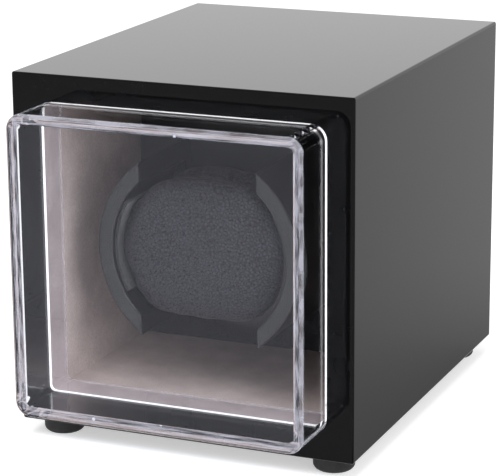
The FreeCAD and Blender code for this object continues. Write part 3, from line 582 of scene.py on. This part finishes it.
def stitch_tree():
    """Stitches along a closed line of edges."""
    tree, given = new_tree("seam_stitches", {"Pitch": "NodeSocketFloat", "Length": "NodeSocketFloat",
                                             "Thread Radius": "NodeSocketFloat", "Thread": "NodeSocketMaterial"})
    line = put(tree, "GeometryNodeMeshToCurve", {"Mesh": given["Geometry"]})
    spaced = put(tree, "GeometryNodeResampleCurve", {"Curve": line.outputs[0], "Length": given["Pitch"]},
                 mode="LENGTH")
    points = put(tree, "GeometryNodeCurveToPoints", {"Curve": spaced.outputs[0]}, mode="EVALUATED")
    sides, rings = 8, 6
    bead = put(tree, "GeometryNodeMeshUVSphere", {"Segments": sides, "Rings": rings, "Radius": 0.5})
    girth = put(tree, "ShaderNodeMath", {0: given["Thread Radius"], 1: 2.0}, operation="MULTIPLY")
    form = put(tree, "ShaderNodeCombineXYZ", {"X": girth.outputs[0], "Y": girth.outputs[0],
                                              "Z": given["Length"]})
    placed = put(tree, "GeometryNodeInstanceOnPoints", {
        "Points": points.outputs["Points"], "Instance": bead.outputs["Mesh"],
        "Rotation": points.outputs["Rotation"], "Scale": form.outputs[0]})
    real = put(tree, "GeometryNodeRealizeInstances", {"Geometry": placed.outputs[0]})
    smooth = put(tree, "GeometryNodeSetShadeSmooth", {"Geometry": real.outputs[0]})
    coloured = put(tree, "GeometryNodeSetMaterial", {"Geometry": smooth.outputs[0],
                                                     "Material": given["Thread"]})
    put(tree, "NodeGroupOutput", {"Geometry": coloured.outputs[0]})
    return tree


def screw_tree():
    """Pan-head screws with a cross recess, one on each point, each turned by its own angle."""
    floats = ("Head Radius", "Head Height", "Shank Radius", "Shank Length", "Cross Width", "Slot Width",
              "Cross Depth")
    tree, given = new_tree("cross_recess_screws", {
        **{label: "NodeSocketFloat" for label in floats}, "Facing": "NodeSocketVector",
        "Seed": "NodeSocketInt", "Metal": "NodeSocketMaterial"})
    dome_power, sharp_angle = 0.5, math.radians(35)
    head_sides, head_rings, shank_sides = 40, 20, 24
    # A sphere whose lower half is pressed flat and whose upper half is made full, as a pan head
    ball = put(tree, "GeometryNodeMeshUVSphere", {"Segments": head_sides, "Rings": head_rings, "Radius": 1.0})
    spot = put(tree, "ShaderNodeSeparateXYZ", {0: put(tree, "GeometryNodeInputPosition").outputs[0]})
    above = put(tree, "ShaderNodeMath", {0: spot.outputs["Z"], 1: 0.0}, operation="MAXIMUM")
    full = put(tree, "ShaderNodeMath", {0: above.outputs[0], 1: dome_power}, operation="POWER")
    lifted = put(tree, "ShaderNodeCombineXYZ", {"X": spot.outputs["X"], "Y": spot.outputs["Y"],
                                                "Z": full.outputs[0]})
    dome = put(tree, "GeometryNodeSetPosition", {"Geometry": ball.outputs["Mesh"],
                                                 "Position": lifted.outputs[0]})
    head_form = put(tree, "ShaderNodeCombineXYZ", {"X": given["Head Radius"], "Y": given["Head Radius"],
                                                   "Z": given["Head Height"]})
    head = put(tree, "GeometryNodeTransform", {"Geometry": dome.outputs[0], "Scale": head_form.outputs[0]})
    tall = put(tree, "ShaderNodeMath", {0: given["Cross Depth"], 1: 2.0}, operation="MULTIPLY")
    slot_form = put(tree, "ShaderNodeCombineXYZ", {"X": given["Cross Width"], "Y": given["Slot Width"],
                                                   "Z": tall.outputs[0]})
    top = put(tree, "ShaderNodeCombineXYZ", {"Z": given["Head Height"]})
    slot = put(tree, "GeometryNodeMeshCube", {"Size": slot_form.outputs[0]})
    first = put(tree, "GeometryNodeTransform", {"Geometry": slot.outputs["Mesh"],
                                                "Translation": top.outputs[0]})
    second = put(tree, "GeometryNodeTransform", {"Geometry": first.outputs[0],
                                                 "Rotation": (0.0, 0.0, math.pi / 2)})
    cut = put(tree, "GeometryNodeMeshBoolean", {"Mesh 1": head.outputs[0], "Mesh 2": first.outputs[0]},
              operation="DIFFERENCE", solver="EXACT")
    crossed = put(tree, "GeometryNodeMeshBoolean", {
        "Mesh 1": cut.outputs["Mesh"], "Mesh 2": second.outputs[0]}, operation="DIFFERENCE", solver="EXACT")
    stem = put(tree, "GeometryNodeMeshCylinder", {"Vertices": shank_sides, "Radius": given["Shank Radius"],
                                                  "Depth": given["Shank Length"]})
    down = put(tree, "ShaderNodeMath", {0: given["Shank Length"], 1: -0.5}, operation="MULTIPLY")
    below = put(tree, "ShaderNodeCombineXYZ", {"Z": down.outputs[0]})
    shank = put(tree, "GeometryNodeTransform", {"Geometry": stem.outputs["Mesh"],
                                                "Translation": below.outputs[0]})
    whole = put(tree, "GeometryNodeJoinGeometry", {0: crossed.outputs["Mesh"]})
    tree.links.new(shank.outputs[0], whole.inputs[0])
    facing = put(tree, "FunctionNodeAlignRotationToVector", {"Vector": given["Facing"]}, axis="Z")
    turn = put(tree, "FunctionNodeRandomValue", {
        "Min": (0.0, 0.0, 0.0), "Max": (0.0, 0.0, math.tau), "Seed": given["Seed"]}, data_type="FLOAT_VECTOR")
    drive = put(tree, "FunctionNodeEulerToRotation", {0: turn.outputs["Value"]})
    turned = put(tree, "FunctionNodeRotateRotation", {0: facing.outputs[0], 1: drive.outputs[0]},
                 rotation_space="LOCAL")
    placed = put(tree, "GeometryNodeInstanceOnPoints", {
        "Points": given["Geometry"], "Instance": whole.outputs[0], "Rotation": turned.outputs[0]})
    real = put(tree, "GeometryNodeRealizeInstances", {"Geometry": placed.outputs[0]})
    fold = put(tree, "GeometryNodeInputMeshEdgeAngle")
    sharp = put(tree, "FunctionNodeCompare", {0: fold.outputs["Unsigned Angle"], 1: sharp_angle},
                data_type="FLOAT", operation="GREATER_THAN")
    smooth = put(tree, "GeometryNodeSetShadeSmooth", {"Geometry": real.outputs[0]}, domain="FACE")
    creased = put(tree, "GeometryNodeSetShadeSmooth", {
        "Geometry": smooth.outputs[0], "Selection": sharp.outputs[0], "Shade Smooth": False}, domain="EDGE")
    coloured = put(tree, "GeometryNodeSetMaterial", {"Geometry": creased.outputs[0],
                                                     "Material": given["Metal"]})
    put(tree, "NodeGroupOutput", {"Geometry": coloured.outputs[0]})
    return tree


def separate_solids(node):
    """Corner points of each separate solid of a CAD piece, one array for each."""
    form = merged_form(node)
    left, solids = set(form.verts), []
    while left:
        reached, edge = set(), [min(left, key=lambda v: v.index)]
        while edge:
            corner = edge.pop()
            if corner not in reached:
                reached.add(corner)
                edge += [e.other_vert(corner) for e in corner.link_edges]
        left -= reached
        solids.append(np.array([v.co for v in reached]))
    form.free()
    return solids


def measured_screw(points, facing):
    """Seat, head radius and height, shank radius and length of one CAD screw whose head faces one way."""
    axis = np.array(facing)
    along = points @ axis
    middle = (points.min(0) + points.max(0)) / 2
    off = points - middle
    out = np.linalg.norm(off - np.outer(off @ axis, axis), axis=1)
    head_radius = out.max()
    tip = along.min()
    shank_radius = out[along < tip + MERGE].max()
    under = along[out > (head_radius + shank_radius) / 2].min()
    seat = middle + axis * (under - middle @ axis)
    return seat, head_radius, along.max() - under, shank_radius, under - tip


def make_screws(node, facing, material, slot, sizes, seed):
    """Cross-recess screws in place of the plain ones of a CAD piece."""
    found = [measured_screw(points, facing) for points in separate_solids(node)]
    seats = bpy.data.meshes.new(node + "_seats")
    seats.from_pydata([list(seat) for seat, *_ in found], [], [])
    _, head_radius, head_height, shank_radius, shank_length = found[0]
    grown = grow(node + "_grown", seats, screw_tree(), {
        "Head Radius": float(head_radius), "Head Height": float(head_height),
        "Shank Radius": float(shank_radius), "Shank Length": float(shank_length),
        "Cross Width": float(2 * head_radius * sizes.recess_share),
        "Slot Width": float(2 * head_radius * sizes.recess_slot),
        "Cross Depth": float(head_height * sizes.recess_depth), "Facing": facing, "Seed": seed,
        "Metal": material})
    new_piece(node + "_crossed", grown, frame["nodes"][node]["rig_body"], slot, material, node)


def rounded_square(half, corner, middle):
    """Points round a square with round corners in the XZ plane, about its middle."""
    steps = 8
    spots = []
    for quarter in range(4):
        facing = quarter * math.pi / 2
        hub = Vector((half - corner, half - corner))
        hub.rotate(Matrix.Rotation(facing, 2))
        for step in range(steps + 1):
            turn = facing + step / steps * math.pi / 2
            spots.append((middle.x + hub.x + corner * math.cos(turn),
                          middle.z + hub.y + corner * math.sin(turn)))
    return spots


def square_ring(name, outer, inner, front, back):
    """Closed ring between two outlines of as many points and two depths."""
    form = bmesh.new()
    rings = [[form.verts.new((x, y, z)) for x, z in outline]
             for outline, y in ((outer, front), (inner, front), (inner, back), (outer, back))]
    for ring, beside in zip(rings, rings[1:] + rings[:1]):
        for i in range(len(ring)):
            form.faces.new((ring[i - 1], ring[i], beside[i], beside[i - 1]))
    bmesh.ops.recalc_face_normals(form, faces=form.faces)
    mesh = bpy.data.meshes.new(name)
    form.to_mesh(mesh)
    form.free()
    return mesh


# Pillow

def pillow_form(sizes):
    """Pillow mesh in even cells, a little smaller than the CAD one, so that stuffing can fill it."""
    form = merged_form("pillow_cushion")
    form.normal_update()
    for corner in form.verts:
        corner.co -= corner.normal * sizes.pillow_inset
    mesh = bpy.data.meshes.new("pillow_form")
    form.to_mesh(mesh)
    form.free()
    source = scratch_object("pillow_form", mesh)
    cells = source.modifiers.new("cells", "REMESH")
    cells.mode = "VOXEL"
    cells.voxel_size = sizes.pillow_cell
    even = baked(source)
    bpy.data.objects.remove(source)
    return even


def stuffed(mesh, sizes, sewn_from):
    """Points of the mesh after stuffing: a cloth under pressure, held where it is sewn to its base."""
    source = scratch_object("pillow_cloth", mesh)
    held = source.vertex_groups.new(name="sewn")
    held.add([v.index for v in mesh.vertices if v.co.y > sewn_from], 1.0, "REPLACE")
    cloth = source.modifiers.new("stuffing", "CLOTH")
    leathercloth_settings = {
        "quality": 6, "mass": 0.08, "tension_stiffness": 12.0, "compression_stiffness": 12.0,
        "bending_stiffness": 0.4, "shrink_min": -0.04, "use_pressure": True, "uniform_pressure_force": 4.0,
        "vertex_group_mass": held.name}
    for name, value in leathercloth_settings.items():
        setattr(cloth.settings, name, value)
    cloth.settings.effector_weights.gravity = 0.0
    cloth.collision_settings.use_collision = False
    cloth.point_cache.frame_end = sizes.pillow_frames
    scene = bpy.context.scene
    for step in range(1, sizes.pillow_frames + 1):
        scene.frame_set(step)
    after = baked(source)
    scene.frame_set(1)
    points = np.array([v.co for v in after.vertices])
    bpy.data.objects.remove(source)
    return points


def capped(before, after, most):
    """Points moved towards where the stuffing took them, none by more than the cap."""
    move, least = after - before, 1e-12
    far = np.linalg.norm(move, axis=1)
    return before + move * np.minimum(1.0, most / np.maximum(far, least))[:, None]


def pull_seam(mesh, seam_y, sizes):
    """Draw the pillow in along the seam that runs round its sides."""
    mesh.update()
    for corner in mesh.vertices:
        near = (corner.co.y - seam_y) / sizes.seam_width
        corner.co -= corner.normal * (sizes.seam_depth * math.exp(-near * near))


def loop_at(mesh, y):
    """Closed line of edges where the mesh crosses a plane at that depth."""
    form = bmesh.new()
    form.from_mesh(mesh)
    bmesh.ops.bisect_plane(form, geom=form.verts[:] + form.edges[:] + form.faces[:], dist=MERGE,
                           plane_co=(0.0, y, 0.0), plane_no=(0.0, 1.0, 0.0), clear_inner=True,
                           clear_outer=True)
    bmesh.ops.delete(form, geom=form.faces[:], context="FACES_KEEP_BOUNDARY")
    line = bpy.data.meshes.new("stitch_line")
    form.to_mesh(line)
    form.free()
    return line


# Operators

class WINDER_OT_lacquer_case(bpy.types.Operator):
    """Lacquer the front frame and the four boards"""

    bl_idname = "winder.lacquer_case"
    bl_label = "Lacquered case"

    def execute(self, context):
        dress(piano_lacquer(context.scene.winder_colours), "piano_lacquer")
        return {"FINISHED"}


class WINDER_OT_clear_cover(bpy.types.Operator):
    """Give the pull-off cover its clear acrylic, and cement its front panel on"""

    bl_idname = "winder.clear_cover"
    bl_label = "Clear cover"

    def execute(self, context):
        sizes, tones = context.scene.winder_sizes, context.scene.winder_colours
        dress(cast_acrylic(tones), "clear_acrylic")
        low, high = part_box("acrylic_cover")
        middle, half = (low + high) / 2, (high.x - low.x) / 2
        outer = rounded_square(half - sizes.bond_margin, sizes.cover_corner - sizes.bond_margin, middle)
        bore = sizes.cover_wall - sizes.bond_inset
        inner = rounded_square(half - bore, sizes.cover_corner - bore, middle)
        joint = low.y + sizes.cover_panel
        skin = sizes.bond_film / 2
        film = square_ring("cover_bond", outer, inner, joint - skin, joint + skin)
        new_piece("cover_bond", film, "cover", "clear_acrylic", solvent_cement(tones, middle))
        return {"FINISHED"}


class WINDER_OT_velvet_chamber(bpy.types.Operator):
    """Line the chamber with velvet, taupe on its walls and charcoal on its back"""

    bl_idname = "winder.velvet_chamber"
    bl_label = "Velvet chamber"

    def execute(self, context):
        tones = context.scene.winder_colours
        dress(velvet("taupe_velvet_pile", tones.velvet, tones.velvet_nap_shade), "taupe_velvet")
        dress(velvet("charcoal_velvet_pile", tones.back_velvet, tones.back_velvet_nap_shade), "charcoal_velvet")
        return {"FINISHED"}


class WINDER_OT_cradle(bpy.types.Operator):
    """Finish the turning cradle, its hub and its felt pads"""

    bl_idname = "winder.cradle"
    bl_label = "Turning cradle"

    def execute(self, context):
        tones = context.scene.winder_colours
        # The hollows of the cradle's grit get the darker tone as painted shade
        dress(moulded("satin_black_abs", tones.cradle, tones.cradle_hollow_shade, 0.35 * MM, (0.3, 0.42), 0.02 * MM),
              "satin_abs")
        dress(pressed_felt(tones), "black_felt")
        return {"FINISHED"}


class WINDER_OT_pillow(bpy.types.Operator):
    """Stuff the leathercloth pillow and sew its seam"""

    bl_idname = "winder.pillow"
    bl_label = "Stuffed pillow"

    def execute(self, context):
        sizes, tones = context.scene.winder_sizes, context.scene.winder_colours
        face, back = (corner.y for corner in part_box("pillow_cushion"))
        sewn_strip = 2.0 * MM
        mesh = pillow_form(sizes)
        before = np.array([v.co for v in mesh.vertices])
        points = capped(before, stuffed(mesh.copy(), sizes, back - sewn_strip), sizes.pillow_swell)
        mesh.vertices.foreach_set("co", points.astype(np.float32).ravel())
        seam_y = face + sizes.seam_setback
        pull_seam(mesh, seam_y, sizes)
        mesh.shade_smooth()
        pillow = new_piece("pillow_leathercloth", mesh, "pillow", "grained_leather", leathercloth(tones),
                           "pillow_cushion")
        rounding = pillow.modifiers.new("rounding", "SUBSURF")
        rounding.levels = rounding.render_levels = 1
        thread = sewing_thread(tones)
        line = loop_at(mesh, seam_y - sizes.stitch_setback)
        stitches = grow("pillow_stitch_line", line, stitch_tree(), {
            "Pitch": sizes.stitch_pitch, "Length": sizes.stitch_length, "Thread Radius": sizes.thread_radius,
            "Thread": thread})
        new_piece("pillow_stitches", stitches, "pillow", "grained_leather", thread)
        return {"FINISHED"}


class WINDER_OT_feet(bpy.types.Operator):
    """Finish the rubber feet"""

    bl_idname = "winder.feet"
    bl_label = "Rubber feet"

    def execute(self, context):
        tones = context.scene.winder_colours
        # The grit's high spots get the greyer bloom, partly painted sheen, and its hollows the plain black as
        # painted shade
        rubber = moulded("moulded_black_rubber", tones.rubber_bloom_and_sheen, tones.rubber, 0.6 * MM, (0.6, 0.8),
                         0.03 * MM)
        dress(rubber, "rubber_feet")
        return {"FINISHED"}


class WINDER_OT_controls(bpy.types.Operator):
    """Finish the rear cover's socket, switch and knob"""

    bl_idname = "winder.controls"
    bl_label = "Rear controls"

    def execute(self, context):
        tones = context.scene.winder_colours
        # The hollows of the plastic's grit get the darker tone as painted shade
        plastic = moulded("moulded_black_plastic", tones.plastic, tones.plastic_hollow_shade, 0.3 * MM, (0.4, 0.55),
                          0.02 * MM)
        dress(plastic, "black_plastic")
        return {"FINISHED"}


class WINDER_OT_works(bpy.types.Operator):
    """Finish the boards, gears, shafts, motor and circuit board inside"""

    bl_idname = "winder.works"
    bl_label = "Works"

    def execute(self, context):
        tones = context.scene.winder_colours
        even, round_y = (1.0, 1.0, 1.0), (1.0, 14.0, 1.0)
        finishes = {
            "raw_board": speckled("raw_fibreboard", tones.board, tones.board_fibre, 0.8 * MM, 0.0, 0.9,
                                  0.05 * MM),
            # The hollows of the nylon's grit get the darker tone as painted shade
            "nylon_gears": moulded("natural_nylon", tones.nylon, tones.nylon_hollow_shade, 1.5 * MM, (0.38, 0.5),
                                   0.01 * MM),
            "ground_steel": worked_metal("ground_steel", tones.steel, 1.2 * MM, round_y, (0.2, 0.35)),
            "steel_plate": worked_metal("plated_sheet_steel", tones.steel, 2.5 * MM, even, (0.28, 0.42)),
            "brass": worked_metal("turned_brass", tones.brass, 1.0 * MM, round_y, (0.2, 0.34)),
            "sintered_bronze": speckled("sintered_bronze", tones.bronze, tones.bronze_pore, 0.3 * MM, 1.0, 0.45,
                                        0.02 * MM),
            "fibre_washer": speckled("vulcanised_fibre", tones.fibre, tones.fibre_low, 0.7 * MM, 0.0, 0.6,
                                     0.02 * MM),
            # The hollows of the insulation's grit get the darker tone as painted shade
            "lead_insulation": moulded("lead_insulation_red", tones.lead, tones.lead_hollow_shade, 1.2 * MM, (0.4, 0.5),
                                       0.01 * MM),
            "circuit_laminate": speckled("green_solder_mask", tones.solder_mask, tones.solder_mask_track,
                                         2.5 * MM, 0.0, 0.35, 0.02 * MM),
            # The hollows of the sleeve's grit get the darker tone as painted shade
            "capacitor_sleeve": moulded("shrink_sleeve_blue", tones.sleeve, tones.sleeve_hollow_shade, 3.0 * MM,
                                        (0.2, 0.3), 0.01 * MM),
        }
        for slot, material in finishes.items():
            dress(material, slot)
        return {"FINISHED"}


class WINDER_OT_screws(bpy.types.Operator):
    """Cut cross recesses in the screws and give them their plating"""

    bl_idname = "winder.screws"
    bl_label = "Screws"

    def execute(self, context):
        sizes, tones = context.scene.winder_sizes, context.scene.winder_colours
        zinc = worked_metal("bright_zinc_plate", tones.zinc, 0.8 * MM, (1.0, 1.0, 1.0), (0.22, 0.38))
        oxide = black_oxide(tones)
        dress(oxide, "black_screws")
        front, back, down = (0.0, -1.0, 0.0), (0.0, 1.0, 0.0), (0.0, 0.0, -1.0)
        groups = (("rear_screws", back, oxide, "black_screws"), ("foot_screws", down, zinc, "zinc_screws"),
                  ("hub_screws", front, zinc, "zinc_screws"), ("plate_screws", back, zinc, "zinc_screws"),
                  ("motor_screws", front, zinc, "zinc_screws"), ("board_screws", front, zinc, "zinc_screws"))
        for seed, (node, facing, metal, slot) in enumerate(groups):
            make_screws(node, facing, metal, slot, sizes, seed)
        return {"FINISHED"}


class WINDER_OT_stage(bpy.types.Operator):
    """Set the pale floor, the soft lamps, the white surroundings and the camera"""

    bl_idname = "winder.stage"
    bl_label = "Stage"

    def execute(self, context):
        scene = context.scene
        stage, tones = scene.winder_stage, scene.winder_colours
        scene.view_settings.view_transform = "Standard"
        # Light runs along inside the acrylic's edges, off one face after another.
        bounces = 24
        for kind in ("max_bounces", "transmission_bounces", "glossy_bounces"):
            setattr(scene.cycles, kind, bounces)
        self.lay_floor(scene, stage, tones)
        self.hang_lamps(scene, stage)
        self.light_surroundings(scene, stage)
        self.place_camera(scene, stage)
        return {"FINISHED"}

    def lay_floor(self, scene, stage, tones):
        reach, lift = stage.floor_reach, 1.0 * MM
        flag_right, flag_back = 0.7, 0.8
        self.lay_card(scene, "floor", (-reach, reach), (-reach, reach), 0.0, studio_floor(tones, stage))
        low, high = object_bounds()
        across, along = (high.x + lift, flag_right), (low.y, flag_back)
        # Painted shade, darkest next to the object, that only the lacquer's gloss shows
        fade = reflected_shade_card("reflected_shade_flag_card", along, (tones.reflected_shade_flag, tones.reflected_shade_flag_far))
        flag = self.lay_card(scene, "reflected_shade_flag", across, along, lift, fade)
        # The flag is a painted reflection of shade: the object mirrors it, but it isn't seen itself or through
        # the cover, and casts no shade.
        flag.visible_camera = flag.visible_diffuse = flag.visible_shadow = flag.visible_transmission = False

    def lay_card(self, scene, name, across, along, height, material):
        sheet = bpy.data.meshes.new(name)
        (left, right), (near, far) = across, along
        corners = [(left, near, height), (right, near, height), (right, far, height), (left, far, height)]
        sheet.from_pydata(corners, [], [(0, 1, 2, 3)])
        sheet.materials.append(material)
        card = bpy.data.objects.new(name, sheet)
        scene.collection.objects.link(card)
        card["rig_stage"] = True
        return card

    def hang_lamps(self, scene, stage):
        aim = Vector(stage.aim)
        # Name, place, side and power of each lamp
        lamps = (("top_softbox", (-0.1, -0.35, 1.1), 0.9, stage.top_lamp),
                 ("side_softbox", (1.0, -0.55, 0.55), 0.8, stage.side_lamp))
        for name, place, side, power in lamps:
            lamp = bpy.data.lights.new(name, "AREA")
            lamp.shape = "SQUARE"
            lamp.size = side
            lamp.energy = power
            hung = bpy.data.objects.new(name, lamp)
            hung.location = place
            # The lamps light the object, but its lacquer doesn't mirror them as burnt-out fields.
            hung.visible_glossy = False
            hung.rotation_mode = "QUATERNION"
            hung.rotation_quaternion = (aim - Vector(place)).to_track_quat("-Z", "Y")
            scene.collection.objects.link(hung)

    def light_surroundings(self, scene, stage):
        world = bpy.data.worlds.new("white_surroundings")
        world.use_nodes = True
        tree = world.node_tree
        tree.nodes.clear()
        level = put(tree, "ShaderNodeMapRange", {"Value": seen_ray(tree), "To Min": stage.fill,
                                                 "To Max": stage.sky})
        white = (1.0, 1.0, 1.0, 1.0)
        glow = put(tree, "ShaderNodeBackground", {"Color": white, "Strength": level.outputs[0]})
        put(tree, "ShaderNodeOutputWorld", {"Surface": glow.outputs[0]})
        scene.world = world

    def place_camera(self, scene, stage):
        across, up = stage.azimuth, stage.elevation
        away = Vector((math.sin(across) * math.cos(up), -math.cos(across) * math.cos(up), math.sin(up)))
        lens = bpy.data.cameras.new("photo_camera")
        lens.sensor_fit = "HORIZONTAL"
        lens.lens = stage.lens
        lens.clip_start = 10.0 * MM
        camera = bpy.data.objects.new("photo_camera", lens)
        camera.location = Vector(stage.aim) + away * stage.distance
        camera.rotation_mode = "QUATERNION"
        lean = Quaternion((0.0, 0.0, 1.0), stage.roll)
        camera.rotation_quaternion = (-away).to_track_quat("-Z", "Y") @ lean
        scene.collection.objects.link(camera)
        scene.camera = camera


OPERATORS = (WINDER_OT_lacquer_case, WINDER_OT_clear_cover, WINDER_OT_velvet_chamber, WINDER_OT_cradle,
             WINDER_OT_pillow, WINDER_OT_feet, WINDER_OT_controls, WINDER_OT_works, WINDER_OT_screws,
             WINDER_OT_stage)
GROUPS = {"winder_sizes": WinderSizes, "winder_colours": WinderColours, "winder_stage": WinderStage}


class WINDER_PT_panel(bpy.types.Panel):
    """Lists the winder's pieces, sizes, colours and stage"""

    bl_idname = "WINDER_PT_panel"
    bl_label = "Watch winder box"
    bl_space_type = "VIEW_3D"
    bl_region_type = "UI"
    bl_category = "Winder"

    def draw(self, context):
        for operator in OPERATORS:
            self.layout.operator(operator.bl_idname)
        for name, group in GROUPS.items():
            box = self.layout.box()
            for field in group.__annotations__:
                box.prop(getattr(context.scene, name), field)


def register():
    for group in GROUPS.values():
        bpy.utils.register_class(group)
    for name, group in GROUPS.items():
        setattr(bpy.types.Scene, name, PointerProperty(type=group))
    for made in (*OPERATORS, WINDER_PT_panel):
        bpy.utils.register_class(made)


def unregister():
    for made in reversed((*OPERATORS, WINDER_PT_panel)):
        bpy.utils.unregister_class(made)
    for name, group in GROUPS.items():
        delattr(bpy.types.Scene, name)
        bpy.utils.unregister_class(group)


def main():
    register()
    for operator in OPERATORS:
        group, name = operator.bl_idname.split(".")
        getattr(getattr(bpy.ops, group), name)()


if __name__ == "__main__":
    main()
